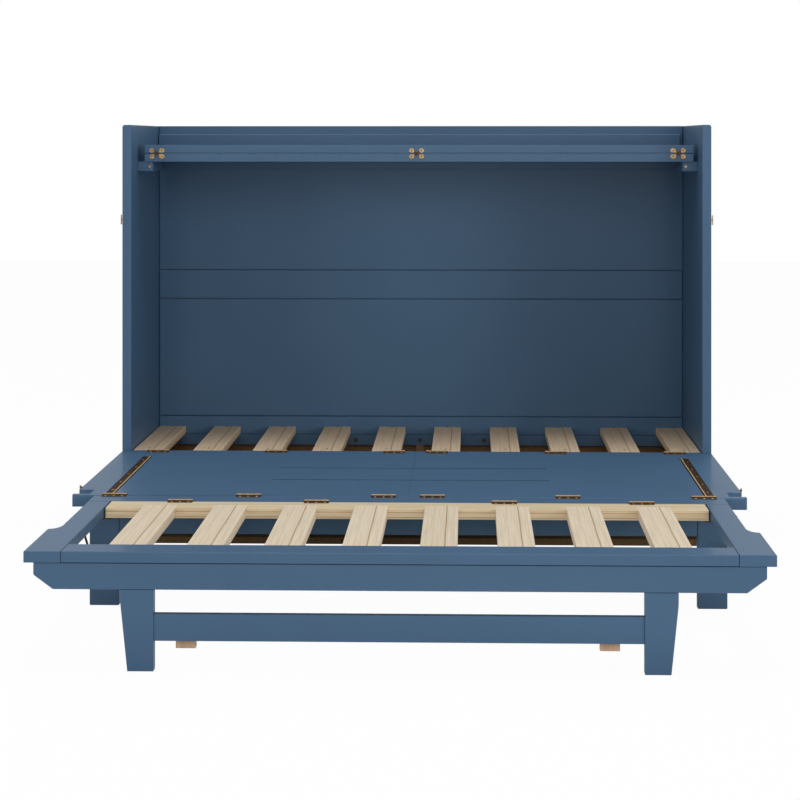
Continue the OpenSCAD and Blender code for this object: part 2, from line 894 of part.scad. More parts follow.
// Screws of the edge strips and of the side hooks
module panel_screws() {
    leaf_x = strip_x + strip_slot_w + 2 * strip_roll_r;
    step = strip_len / strip_screws;
    color(brass)
        both_sides() {
            for (n = [0:1:strip_screws - 1])
                place(
                    leaf_x + strip_w / 2, strip_start + (n + 0.5) * step,
                    deck_top - strip_recess + strip_t
                )
                    cylinder(h = screw_head_t, r = screw_r);
            place(0, hook_y, hook_z) {
                x_rod(half_w, half_w + hook_washer_t, hook_w / 2);
                x_rod(half_w + hook_washer_t, half_w + hook_washer_t + hook_t + 2 * fit, hook_pin_r);
                x_rod(
                    half_w + hook_washer_t + hook_t + 2 * fit,
                    half_w + hook_washer_t + hook_t + 2 * fit + hook_head_t,
                    hook_w / 2
                );
            }
        }
}

module panel_hinge_panel_leaves() {
    color(bronze)
        place(0, panel_axis_y, fold_z)
            along_row()
                seam_leaf_ahead(hinge_len);
}

module spine_hinge_panel_leaves() {
    color(bronze)
        place(0, spine_axis_y, fold_z)
            along_row()
                seam_leaf_behind(hinge_len);
}

// The hook's arm, drawn forward and up from its pivot, notched where it meets the stud
module hook_outline() {
    notch_r = catch_stud_r + hook_fit;
    end_r = notch_r + hook_end_wall;
    difference() {
        union() {
            circle(r = hook_w / 2 + hook_eye_rim);
            translate([0, -hook_w / 2])
                square([hook_len, hook_w]);
            translate([hook_len, 0])
                circle(r = end_r);
        }
        circle(r = hook_pin_r + fit);
        translate([hook_len, 0])
            circle(r = notch_r);
        translate([hook_len - notch_r, 0])
            square([2 * notch_r, end_r + eps]);
    }
}

module hook(side) {
    x = half_w + hook_washer_t + fit;
    color(brass)
        mirror([side > 0 ? 0 : 1, 0, 0])
            place(x, hook_y, hook_z)
                mirror([0, 1, 0])
                    rotate([90, 0, 90])
                        rotate([0, 0, hook_angle - hook_swing])
                            linear_extrude(hook_t)
                                hook_outline();
}

// Spine

module spine_board() {
    color(paint)
        block(-frame_half, frame_half, spine_y0, spine_y1, timber_z, deck_top);
}

module spine_hinge_spine_leaves() {
    color(bronze)
        place(0, spine_axis_y, fold_z)
            along_row()
                seam_leaf_ahead(hinge_len);
}

module foot_hinge_spine_leaves() {
    color(bronze)
        place(0, foot_axis_y, fold_z)
            along_foot_row()
                seam_leaf_behind(hinge_len);
}

// Foot frame

// Outline of a side rail with its ear, across and forward
module foot_rail_outline() {
    ear_w = ear_half - frame_half;
    steps = 10;
    polygon(concat(
        [[rail_inner, foot_y0], [frame_half, foot_y0]],
        [for (n = [0:1:steps])
            [ear_half - ear_w * cos(90 * n / steps), ear_start + ear_curve_len * sin(90 * n / steps)]],
        [[ear_half, foot_y1], [rail_inner, foot_y1]]
    ));
}

module foot_rail(side) {
    color(paint)
        mirror([side > 0 ? 0 : 1, 0, 0])
            plan_plate(board_z, deck_top)
                foot_rail_outline();
}

module foot_front_rail() {
    color(paint)
        block(-rail_inner, rail_inner, foot_rail_y0, foot_y1, board_z, deck_top);
}

module foot_apron() {
    color(paint)
        place(0, leg_y1, 0)
            upright_plate(apron_t)
                polygon([
                    [-apron_half, board_z], [apron_half, board_z],
                    [apron_half, apron_z + apron_cut_z], [apron_half - apron_cut_x, apron_z],
                    [-apron_half + apron_cut_x, apron_z], [-apron_half, apron_z + apron_cut_z]
                ]);
}

module foot_beam() {
    half = rail_inner - beam_end_gap;
    lap_y0 = foot_y0 + beam_w - lap_len;
    color(pine)
        difference() {
            block(-half, half, foot_y0, foot_y0 + beam_w, board_z, deck_top);
            for (n = [0:1:foot_slats_n - 1])
                translate([(n - (foot_slats_n - 1) / 2) * slat_pitch, 0, 0])
                    block(
                        -slat_w / 2, slat_w / 2, lap_y0, foot_y0 + beam_w + eps,
                        deck_top - lap_d, deck_top + eps
                    );
        }
}

module foot_slat_cleat() {
    color(pine)
        block(
            -rail_inner, rail_inner, foot_rail_y0 - foot_cleat_w, foot_rail_y0,
            timber_z - ledger_t, timber_z
        );
}

module foot_slats() {
    beam_y1 = foot_y0 + beam_w;
    color(pine)
        for (n = [0:1:foot_slats_n - 1])
            translate([(n - (foot_slats_n - 1) / 2) * slat_pitch, 0, 0]) {
                block(-slat_w / 2, slat_w / 2, beam_y1, foot_rail_y0, timber_z, deck_top);
                block(-slat_w / 2, slat_w / 2, beam_y1 - lap_len, beam_y1, deck_top - lap_d, deck_top);
            }
}

// Angles on the side rails' inner faces that the beam's ends stand on
module beam_brackets() {
    y0 = foot_y0 + bracket_setback;
    y1 = y0 + bracket_w;
    z0 = board_z - bracket_t;
    color(dark_steel)
        both_sides()
            union() {
                block(rail_inner - bracket_lap, rail_inner, y0, y1, z0, board_z);
                block(rail_inner - bracket_t, rail_inner, y0, y1, z0, deck_top - bracket_drop);
            }
}

module foot_hinge_foot_leaves() {
    color(bronze)
        place(0, foot_axis_y, fold_z)
            along_foot_row()
                seam_leaf_ahead(hinge_len);
}

// Bolts on the side rails' outer faces: one carries a stay, one stands ahead of it
module rail_bolts() {
    head_r = stay_bolt_r + bolt_head_rim;
    shank_x1 = stay_x + stay_t + 2 * fit;
    color(brass)
        both_sides() {
            place(0, stay_bolt_y, stay_bolt_z) {
                x_rod(frame_half, stay_x - fit, head_r);
                x_rod(stay_x - fit, shank_x1, stay_bolt_r);
                x_rod(shank_x1, shank_x1 + bolt_head_t, head_r);
            }
            place(0, stop_bolt_y, stay_bolt_z) {
                x_rod(frame_half, frame_half + washer_t, head_r);
                x_rod(frame_half + washer_t, frame_half + washer_t + bolt_head_t, head_r - washer_t);
            }
        }
}

module mid_hinge_rail_leaves() {
    color(bronze)
        for (s = [-1, 1])
            place(s * mid_hinge_x, mid_axis_y, mid_axis_z) {
                rotate([-90, 0, 0])
                    mirror([0, 1, 0])
                        hinge_leaf(leg_hinge_len, true, barrel_r - leaf_t, barrel_r);
                hinge_pin(leg_hinge_len);
            }
}

module front_hinge_apron_leaves() {
    color(bronze)
        for (s = [-1, 1])
            place(s * front_hinge_x, front_axis_y, front_axis_z) {
                rotate([180, 0, 0])
                    hinge_leaf(leg_hinge_len, true, barrel_r - leaf_t, barrel_r);
                hinge_pin(leg_hinge_len);
            }
}

// Middle legs

module mid_post(side) {
    color(paint)
        mirror([side > 0 ? 0 : 1, 0, 0])
            place(0, post_y1, 0)
                upright_plate(post_t)
                    polygon([
                        [post_x0, 0], [post_x1, 0], [post_x1, relief_z],
                        [relief_x, relief_z], [relief_x, post_top], [post_x0, post_top]
                    ]);
}

module mid_apron() {
    y1 = post_y1 - mid_apron_inset;
    color(paint)
        block(-post_x0, post_x0, y1 - mid_apron_t, y1, board_z - mid_apron_h, board_z);
}

module mid_hinge_post_leaves() {
    color(bronze)
        for (s = [-1, 1])
            place(s * mid_hinge_x, mid_axis_y, mid_axis_z)
                hinge_leaf(leg_hinge_len, false, barrel_r - leaf_t, barrel_r);
}

// Studs on the posts that the stays hook on
module stay_studs() {
    color(brass)
        both_sides()
            place(0, stay_stud_y, stay_stud_z) {
                x_rod(post_x1, stay_x - 2 * hook_fit, stay_bolt_r + washer_t);
                x_rod(stay_x - 2 * hook_fit, stay_x + stay_t + stud_proud, stay_bolt_r);
            }
}

// A stay drawn from its bolt along X, with its hook at the far end
module stay_outline() {
    half = stay_w / 2;
    notch_r = stay_bolt_r + hook_fit;
    difference() {
        union() {
            circle(r = half + stay_eye_rim);
            translate([stay_len, 0])
                circle(r = half + stay_hook_rim);
            translate([0, -half])
                square([stay_len, stay_w]);
        }
        circle(r = stay_bolt_r + fit);
        translate([stay_len, 0]) {
            circle(r = notch_r);
            polygon([[-notch_r, 0], [notch_r, 0], [notch_r, stay_w], [-2 * notch_r, stay_w]]);
        }
    }
}

module leg_stay(side) {
    color(dark_steel)
        mirror([side > 0 ? 0 : 1, 0, 0])
            place(stay_x, stay_bolt_y, stay_bolt_z)
                rotate([90, 0, 90])
                    rotate([0, 0, -stay_angle])
                        linear_extrude(stay_t)
                            stay_outline();
}

// Front legs

module front_leg(side) {
    x1 = front_leg_x + front_leg_w;
    color(paint)
        mirror([side > 0 ? 0 : 1, 0, 0])
            place(0, leg_y1, 0)
                upright_plate(apron_t)
                    polygon([
                        [front_leg_x, 0], [x1 - front_leg_taper, 0],
                        [x1, leg_top - leg_shoulder], [x1, leg_top], [front_leg_x, leg_top]
                    ]);
}

module leg_stretcher() {
    color(paint)
        block(
            -front_leg_x, front_leg_x, stretcher_y0, stretcher_y1,
            stretcher_z, stretcher_z + stretcher_h
        );
}

module stretcher_blocks() {
    lip_z = stretcher_z - block_lip;
    y0 = stretcher_y0 - block_d;
    top = stretcher_z + stretcher_h - block_top_drop;
    foot_w = block_w - 2 * block_step;
    color(pine)
        for (s = [-1, 1])
            translate([s * block_x - block_shift, 0, 0]) {
                block(-block_w / 2, block_w / 2, y0, stretcher_y0, lip_z, top);
                block(-foot_w / 2, foot_w / 2, y0, stretcher_y0, stretcher_z - block_drop, lip_z);
            }
}

module front_hinge_leg_leaves() {
    color(bronze)
        for (s = [-1, 1])
            place(s * front_hinge_x, front_axis_y, front_axis_z)
                mirror([0, 1, 0])
                    hinge_leaf(leg_hinge_len, false, barrel_r - leaf_t, barrel_r);
}

side_panel(-1);  // side_panel_left
side_panel(1);  // side_panel_right
back_upper_panel();
back_mid_rail();
back_lower_panel();
back_bottom_rail();
back_hardboard();
bottom_board();
gallery_strip();
lid_board();
lid_back_cleat();
lid_cleat(-1);  // lid_cleat_left
lid_cleat(1);  // lid_cleat_right
slat_ledger();
ledger_prop();
slat_front_rail();
slat_front_ledger();
rear_slats();
side_catches();
lid_hinge_fixed_plates();
cabinet_fasteners();
panel_hinge_cabinet_leaves();
lid_flap();
lid_hinge_flap_plates();
front_panel(-1);  // front_panel_left
front_panel(1);  // front_panel_right
crown_rail();
edge_strips();
panel_screws();
panel_hinge_panel_leaves();
spine_hinge_panel_leaves();
hook(-1);  // hook_left
hook(1);  // hook_right
spine_board();
spine_hinge_spine_leaves();
foot_hinge_spine_leaves();
foot_rail(-1);  // foot_rail_left
foot_rail(1);  // foot_rail_right
foot_front_rail();
foot_apron();
foot_beam();
beam_brackets();
foot_slat_cleat();
foot_slats();
foot_hinge_foot_leaves();
rail_bolts();
mid_hinge_rail_leaves();
front_hinge_apron_leaves();
mid_post(-1);  // mid_post_left
mid_post(1);  // mid_post_right
mid_apron();
mid_hinge_post_leaves();
stay_studs();
leg_stay(-1);  // leg_stay_left
leg_stay(1);  // leg_stay_right
front_leg(-1);  // front_leg_left
front_leg(1);  // front_leg_right
leg_stretcher();
stretcher_blocks();
front_hinge_leg_leaves();
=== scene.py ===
"""Looks of the cabinet wall bed: satin blue boards, pine slats, brass and bronze fittings."""
import json
import math

import bmesh
import bpy
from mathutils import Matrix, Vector


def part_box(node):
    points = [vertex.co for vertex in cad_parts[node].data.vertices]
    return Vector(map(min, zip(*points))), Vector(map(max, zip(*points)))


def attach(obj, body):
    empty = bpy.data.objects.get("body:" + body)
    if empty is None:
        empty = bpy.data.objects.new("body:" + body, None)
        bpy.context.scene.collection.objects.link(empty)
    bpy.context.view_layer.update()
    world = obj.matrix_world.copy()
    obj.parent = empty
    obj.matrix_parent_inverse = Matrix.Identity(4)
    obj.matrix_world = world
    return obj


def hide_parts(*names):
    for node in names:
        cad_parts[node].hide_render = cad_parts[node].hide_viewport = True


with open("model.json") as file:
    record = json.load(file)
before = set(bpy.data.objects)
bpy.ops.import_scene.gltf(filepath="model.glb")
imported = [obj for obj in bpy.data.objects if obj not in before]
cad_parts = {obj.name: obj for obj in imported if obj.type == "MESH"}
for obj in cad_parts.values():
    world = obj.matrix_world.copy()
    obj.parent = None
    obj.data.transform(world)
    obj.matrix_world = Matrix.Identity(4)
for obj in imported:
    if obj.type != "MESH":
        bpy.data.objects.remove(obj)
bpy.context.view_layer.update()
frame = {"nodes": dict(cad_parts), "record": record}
record = frame["record"]
slot_of = {part["node"]: part["material_slot"] for part in record["subparts"]}
body_of = {node: body for body, nodes in record["behaviour"]["bodies"].items() for node in nodes}

MM = 0.001

# The lid hinges' lobes have their front faces on the plane of their pins
LOBE_FRONT = [joint["pos_m"][1] for joint in record["behaviour"]["joints"]
              if joint["name"] == "lid_flap_fold"][0]

# The photograph's frame and the camera that took it
PICTURE_PX = 800
FOCAL_PX = 2241.0
HORIZON_ROW_PX = 140.9
SENSOR_MM = 36.0
EYE = Vector((0.1478, -5.7095, 1.1105))
YAW_DEG = 1.77

# Light: a pale room, and softboxes as (name, place, aim, diameter, watts, colour)
SKY = 0.38
NEUTRAL = (1.0, 1.0, 1.0)
COOL = (0.9, 1.0, 1.08)
SOFTBOXES = (
    ("front_softbox", (0.3, -11.0, 3.7), (0, 0.6, 0.6), 7.0, 250, NEUTRAL),
    ("left_softbox", (-6.0, -4.5, 1.8), (0.4, 0.4, 0.6), 2.5, 80, NEUTRAL),
    ("right_softbox", (6.0, -4.5, 1.8), (-0.4, 0.4, 0.6), 2.5, 150, NEUTRAL),
    ("top_softbox", (0, -0.1, 7.6), (0, -0.3, 0.3), 4.8, 245, COOL),
)
FLOOR_SIZE = 30.0
FLOOR_GREY = 0.86
# How much of the floor the camera sees as plain white, with its shadow in the rest
FLOOR_WHITE = 0.97

# Widths of the eased edges, in millimetres
EASE = {"blue_paint": 1.2, "pine": 0.9, "brown_board": 0.5, "brass": 0.3, "bronze": 0.25,
        "dark_steel": 0.4}
EASE_OF = {"side_panel_left": 1.6, "side_panel_right": 1.6, "front_panel_left": 0.5,
           "front_panel_right": 0.5, "crown_rail": 0.5, "front_leg_left": 1.2,
           "front_leg_right": 1.2, "lid_hinge_fixed_plates": 0.2, "lid_hinge_flap_plates": 0.2,
           "foot_rail_left": 1.5, "foot_rail_right": 1.5, "foot_front_rail": 2.2,
           "foot_apron": 2.2, "mid_post_left": 2.6, "mid_post_right": 2.6,
           "back_upper_panel": 0.4, "foot_beam": 0.6, "spine_board": 0.8, "bottom_board": 0.0,
           "lid_board": 0.7, "lid_flap": 0.7}
# Nodes with one edge rounded more: its radius, and its side as signs of X, Y and Z
BROAD_EDGE = {"crown_rail": (3.5, (0, -1, 1)), "gallery_strip": (3.5, (0, -1, 1)),
              "side_panel_left": (7.0, (-1, 0, 1)), "side_panel_right": (7.0, (1, 0, 1)),
              "foot_front_rail": (3.0, (0, -1, 1))}
# Corners sharper than this are rounded, and creases sharper than the next stay crisp
SHARP_DEG = 35
CREASE_DEG = 50
# Faces this close to level with each other are joined, and points this close become one
FLAT_DEG = 0.5
MERGE_MM = 0.005

# Sizes that repeat the hardware's own, in millimetres
LEAF_MM = 1.2
FLAT_LEAF_MIN_MM = 10.0
LEAF_SCREW_IN_MM = 7.0
LEAF_SCREW_PITCH_MM = 20.0
LEAF_SCREW_RADIUS_MM = 2.7
LEAF_SCREW_HEIGHT_MM = 0.7
LOBE_HALF_PITCH_MM = 13.75
LOBE_RADIUS_MM = 6.0
LOBE_HOLE_MM = 1.8
LOBE_SCREW_RADIUS_MM = 2.5
COUNTERSINK_MM = 0.95
SUNK_BELOW_MM = 0.1
STRAP_HALF_MM = 6.0
STRIP_ROLL_OUTER_MM = 722.4
STRIP_OUTER_MM = 745.0

# Where painted shade goes in the panel's grooves, slots and middle seam and in the open joints,
# in millimetres
SKIN_MM = 0.05
SLOT_DEPTH_MM = 7.0
PANEL_RIM_MM = 2.0
SEAM_HALF_MM = 1.2
SEAM_DEPTH_MM = 2.0
JOINT_MM = 1.5
# The lid's cleats and their screws are above this height, in metres
CLEATS_FROM_Z = 1.0

# How far the raw bottom board stands out in front of the cabinet's sides
BOARD_LIP_MM = 18.0


def linear(code):
    """A linear colour from a hex code."""
    parts = [int(code[i:i + 2], 16) / 255 for i in (1, 3, 5)]
    return [c / 12.92 if c <= 0.04045 else ((c + 0.055) / 1.055) ** 2.4 for c in parts]


def shade(code, factor):
    """That colour made lighter or darker, with alpha."""
    return [min(1.0, c * factor) for c in linear(code)] + [1.0]


def feed(tree, pin, value):
    """Links a socket to a pin, or sets the pin to a plain value."""
    if isinstance(value, bpy.types.NodeSocket):
        tree.links.new(value, pin)
    else:
        pin.default_value = value


def math_of(tree, operation, *values):
    """The result of a math node on values or sockets."""
    node = tree.nodes.new("ShaderNodeMath")
    node.operation = operation
    for pin, value in zip(node.inputs, values):
        feed(tree, pin, value)
    return node.outputs[0]


# Camera, light and floor

def add_camera():
    data = bpy.data.cameras.new("camera")
    data.sensor_width = SENSOR_MM
    data.lens = FOCAL_PX / PICTURE_PX * SENSOR_MM
    data.shift_y = (HORIZON_ROW_PX - PICTURE_PX / 2) / PICTURE_PX
    data.clip_end = 100
    camera = bpy.data.objects.new("camera", data)
    camera.location = EYE
    camera.rotation_euler = (math.radians(90), 0, math.radians(YAW_DEG))
    bpy.context.scene.collection.objects.link(camera)
    bpy.context.scene.camera = camera


def seen_directly(tree):
    """1 for rays from the camera, from a mirror or through glass, and 0 for the rest."""
    path = tree.nodes.new("ShaderNodeLightPath")
    total = path.outputs["Is Camera Ray"]
    for ray in ("Is Glossy Ray", "Is Transmission Ray"):
        total = math_of(tree, "MAXIMUM", total, path.outputs[ray])
    return total


def add_world():
    world = bpy.data.worlds.new("studio")
    world.use_nodes = True
    tree = world.node_tree
    lighting = tree.nodes["Background"]
    lighting.inputs["Color"].default_value = (1, 1, 1, 1)
    lighting.inputs["Strength"].default_value = SKY
    backdrop = tree.nodes.new("ShaderNodeBackground")
    backdrop.inputs["Color"].default_value = (1, 1, 1, 1)
    mix = tree.nodes.new("ShaderNodeMixShader")
    tree.links.new(seen_directly(tree), mix.inputs[0])
    tree.links.new(lighting.outputs[0], mix.inputs[1])
    tree.links.new(backdrop.outputs[0], mix.inputs[2])
    tree.links.new(mix.outputs[0], tree.nodes["World Output"].inputs["Surface"])
    bpy.context.scene.world = world


def add_lamp(name, place, target, size, watts, colour):
    data = bpy.data.lights.new(name, "AREA")
    data.color = colour
    data.shape = "DISK"
    data.size = size
    data.energy = watts
    lamp = bpy.data.objects.new(name, data)
    lamp.location = place
    lamp.rotation_euler = (Vector(target) - Vector(place)).to_track_quat("-Z", "Y").to_euler()
    bpy.context.scene.collection.objects.link(lamp)


def add_floor():
    mesh = bpy.data.meshes.new("floor")
    half = FLOOR_SIZE / 2
    corners = [(x * half, y * half, 0) for x, y in ((-1, -1), (1, -1), (1, 1), (-1, 1))]
    mesh.from_pydata(corners, [], [(0, 1, 2, 3)])
    floor = bpy.data.objects.new("floor", mesh)
    bpy.context.scene.collection.objects.link(floor)
    material = bpy.data.materials.new("floor_white")
    material.use_nodes = True
    tree = material.node_tree
    shader = tree.nodes["Principled BSDF"]
    shader.inputs["Base Color"].default_value = (FLOOR_GREY, FLOOR_GREY, FLOOR_GREY, 1)
    shader.inputs["Roughness"].default_value = 0.9
    shader.inputs["Specular IOR Level"].default_value = 0.0
    glow = tree.nodes.new("ShaderNodeEmission")
    glow.inputs["Color"].default_value = (1, 1, 1, 1)
    glow.inputs["Strength"].default_value = 1.0
    mix = tree.nodes.new("ShaderNodeMixShader")
    tree.links.new(math_of(tree, "MULTIPLY", seen_directly(tree), FLOOR_WHITE), mix.inputs[0])
    tree.links.new(shader.outputs[0], mix.inputs[1])
    tree.links.new(glow.outputs[0], mix.inputs[2])
    tree.links.new(mix.outputs[0], tree.nodes["Material Output"].inputs["Surface"])
    mesh.materials.append(material)


# Material helpers

def start_material(name, roughness, metallic=0.0, specular=0.5):
    material = bpy.data.materials.new(name)
    material.use_nodes = True
    tree = material.node_tree
    shader = tree.nodes["Principled BSDF"]
    shader.inputs["Roughness"].default_value = roughness
    shader.inputs["Metallic"].default_value = metallic
    shader.inputs["Specular IOR Level"].default_value = specular
    return material, tree, shader


def place_on(tree, scale):
    """The object's own coordinates, in metres, times a scale on each axis."""
    coordinates = tree.nodes.new("ShaderNodeTexCoord")
    mapping = tree.nodes.new("ShaderNodeMapping")
    mapping.inputs["Scale"].default_value = scale
    tree.links.new(coordinates.outputs["Object"], mapping.inputs["Vector"])
    return mapping.outputs["Vector"]


def noise(tree, scale, per_metre, detail=2.0, roughness=0.5):
    node = tree.nodes.new("ShaderNodeTexNoise")
    node.inputs["Scale"].default_value = per_metre
    node.inputs["Detail"].default_value = detail
    node.inputs["Roughness"].default_value = roughness
    tree.links.new(place_on(tree, scale), node.inputs["Vector"])
    return node.outputs["Fac"]


def ramp(tree, value, stops):
    """A colour ramp with stops of (position, colour)."""
    node = tree.nodes.new("ShaderNodeValToRGB")
    elements = node.color_ramp.elements
    while len(elements) < len(stops):
        elements.new(0.5)
    for element, (position, colour) in zip(elements, stops):
        element.position = position
        element.color = colour
    tree.links.new(value, node.inputs["Fac"])
    return node.outputs["Color"]


def blend(tree, mode, factor, first, second):
    """Mixes two colours; the factor is a number or a socket."""
    node = tree.nodes.new("ShaderNodeMix")
    node.data_type = "RGBA"
    node.blend_type = mode
    for socket, value in (("Factor", factor), ("A", first), ("B", second)):
        feed(tree, [i for i in node.inputs if i.name == socket and i.enabled][0], value)
    return [o for o in node.outputs if o.enabled][0]


def scale_to(tree, value, low, high):
    """Takes a value from 0..1 to low..high."""
    return range_of(tree, value, 0.0, 1.0, low, high)


def bump(tree, shader, height, distance_mm, strength=1.0):
    node = tree.nodes.new("ShaderNodeBump")
    node.inputs["Distance"].default_value = distance_mm * MM
    node.inputs["Strength"].default_value = strength
    tree.links.new(height, node.inputs["Height"])
    tree.links.new(node.outputs["Normal"], shader.inputs["Normal"])


def split_axes(tree):
    """The object's own coordinates, axis by axis, in metres."""
    coordinates = tree.nodes.new("ShaderNodeTexCoord")
    split = tree.nodes.new("ShaderNodeSeparateXYZ")
    tree.links.new(coordinates.outputs["Object"], split.inputs[0])
    return split.outputs


def range_of(tree, value, from_low, from_high, low, high):
    """Takes a value from one range to another, held at its ends."""
    node = tree.nodes.new("ShaderNodeMapRange")
    for pin, number in (("From Min", from_low), ("From Max", from_high), ("To Min", low),
                        ("To Max", high)):
        node.inputs[pin].default_value = number
    tree.links.new(value, node.inputs["Value"])
    return node.outputs["Result"]


# Materials

PAINT = "#48627c"


def paint_material(name="blue_lacquer", factor=1.0):
    """Satin lacquer on board: a slight drift of tone, and the fine pebble of sprayed paint."""
    material, tree, shader = start_material(name, 0.5, specular=0.05)
    shader.inputs["Coat Weight"].default_value = 0.12
    shader.inputs["Coat Roughness"].default_value = 0.15
    drift = noise(tree, (1, 1, 1), 2.5, 3)
    colour = ramp(tree, drift, [(0.3, shade(PAINT, 0.96 * factor)),
                                (0.7, shade(PAINT, 1.05 * factor))])
    # Darker and a touch bluer over the lowest 12 cm of height, in the piece's own coordinates
    height = split_axes(tree)["Z"]
    up_from_bottom = range_of(tree, height, 0.0, 0.12, 0.0, 1.0)
    darker_low = ramp(tree, up_from_bottom, [(0.0, (0.86, 0.87, 0.9, 1)), (1.0, (1, 1, 1, 1))])
    colour = blend(tree, "MULTIPLY", 1.0, colour, darker_low)
    tree.links.new(colour, shader.inputs["Base Color"])
    pebble = noise(tree, (1, 1, 1), 420, 2)
    tree.links.new(scale_to(tree, pebble, 0.44, 0.56), shader.inputs["Roughness"])
    bump(tree, shader, pebble, 0.05, 0.35)
    return material


def grain_scale(axis, along):
    """Squeezes the texture along the grain."""
    return [along if i == axis else 1.0 for i in range(3)]


def pine_material(name, axis, light, dark, marks=None):
    """Planed softwood: wide soft bands, fine lines along the grain, and darker lines if asked."""
    material, tree, shader = start_material(name, 0.55, specular=0.25)
    bands = noise(tree, grain_scale(axis, 0.03), 55, 3, 0.55)
    lines = noise(tree, grain_scale(axis, 0.012), 420, 3, 0.6)
    base = ramp(tree, bands, [(0.3, shade(dark, 1.0)), (0.68, shade(light, 1.0))])
    streaks = ramp(tree, lines, [(0.36, shade(dark, 0.8)), (0.58, shade(light, 1.0))])
    colour = blend(tree, "MIX", 0.45, base, streaks)
    if marks is not None:
        colour = blend(tree, "MULTIPLY", line_marks(tree, *marks), colour, shade("#b08f66", 1.0))
    info = tree.nodes.new("ShaderNodeObjectInfo")
    tone = ramp(tree, info.outputs["Random"], [(0, (0.93, 0.92, 0.91, 1)), (1, (1, 1, 1, 1))])
    colour = blend(tree, "MULTIPLY", 1.0, colour, tone)
    tree.links.new(colour, shader.inputs["Base Color"])
    tree.links.new(scale_to(tree, lines, 0.5, 0.68), shader.inputs["Roughness"])
    bump(tree, shader, lines, 0.12, 0.5)
    return material


def line_marks(tree, axis, places_mm, wander_mm):
    """Thin lines at places along an axis, each (centre, half width, strength), 0 between them."""
    wander = scale_to(tree, noise(tree, (1, 1, 1), 6, 1), -wander_mm * MM, wander_mm * MM)
    shifted = math_of(tree, "ADD", split_axes(tree)[axis], wander)
    total = None
    for centre, half_width, strength in places_mm:
        offset = math_of(tree, "SUBTRACT", shifted, centre * MM)
        distance = math_of(tree, "ABSOLUTE", offset)
        fall = range_of(tree, distance, 0.0, half_width * MM, strength, 0.0)
        total = fall if total is None else math_of(tree, "MAXIMUM", total, fall)
    return total


def board_material(name, light, dark):
    """Raw brown hardboard: matted fibres and a scatter of dark flecks."""
    material, tree, shader = start_material(name, 0.8, specular=0.15)
    fibres = noise(tree, (1, 1, 1), 160, 5, 0.65)
    flecks = noise(tree, (1, 1, 1), 900, 2, 0.5)
    colour = ramp(tree, fibres, [(0.3, shade(dark, 1.0)), (0.7, shade(light, 1.0))])
    specks = ramp(tree, flecks, [(0.34, (0.6, 0.55, 0.5, 1)), (0.44, (1, 1, 1, 1))])
    tree.links.new(blend(tree, "MULTIPLY", 1.0, colour, specks), shader.inputs["Base Color"])
    bump(tree, shader, fibres, 0.2, 0.4)
    return material


def metal_material(name, light, dark, roughness, marks=None, metallic=1.0, specular=0.3):
    """Plated metal whose tone drifts between two colours, with faint rubbed marks, and dark lines
    of painted shadow if marks are given.
    """
    material, tree, shader = start_material(name, roughness, metallic, specular)
    tarnish = noise(tree, (1, 1, 1), 90, 4, 0.6)
    colour = ramp(tree, tarnish, [(0.35, shade(dark, 1.0)), (0.65, shade(light, 1.0))])
    # The marks blend towards dark brown as painted shadow
    if marks is not None:
        colour = blend(tree, "MIX", line_marks(tree, *marks), colour, shade("#4b3624", 1.0))
    tree.links.new(colour, shader.inputs["Base Color"])
    rub = noise(tree, (1, 1, 1), 700, 3, 0.6)
    rubbed = scale_to(tree, rub, roughness - 0.08, roughness + 0.12)
    tree.links.new(rubbed, shader.inputs["Roughness"])
    bump(tree, shader, rub, 0.02, 0.6)
    return material


def hinge_material():
    """Browned hinge steel: a dark flat leaf, and a barrel with a painted highlight towards its
    top and painted shade towards its foot.
    """
    material, tree, shader = start_material("browned_hinge", 0.42, metallic=0.55, specular=0.4)
    leaf_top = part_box("spine_board")[1][2] + LEAF_MM * MM
    barrel_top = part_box("spine_hinge_spine_leaves")[1][2]
    # Painted light by height: painted shade low on the barrel, a painted highlight at its top
    rise = range_of(tree, split_axes(tree)["Z"], leaf_top, barrel_top, 0.0, 1.0)
    tone = ramp(tree, rise, [(0.02, shade("#3d2c1e", 1.0)), (0.1, shade("#5a4129", 1.0)),
                             (0.55, shade("#6d5338", 1.0)), (0.8, shade("#9d8465", 1.0))])
    tarnish = ramp(tree, noise(tree, (1, 1, 1), 140, 3, 0.6), [(0.3, (0.8, 0.79, 0.78, 1)),
                                                               (0.7, (1, 1, 1, 1))])
    tree.links.new(blend(tree, "MULTIPLY", 1.0, tone, tarnish), shader.inputs["Base Color"])
    rub = noise(tree, (1, 1, 1), 700, 3, 0.6)
    tree.links.new(scale_to(tree, rub, 0.34, 0.52), shader.inputs["Roughness"])
    bump(tree, shader, rub, 0.02, 0.6)
    return material


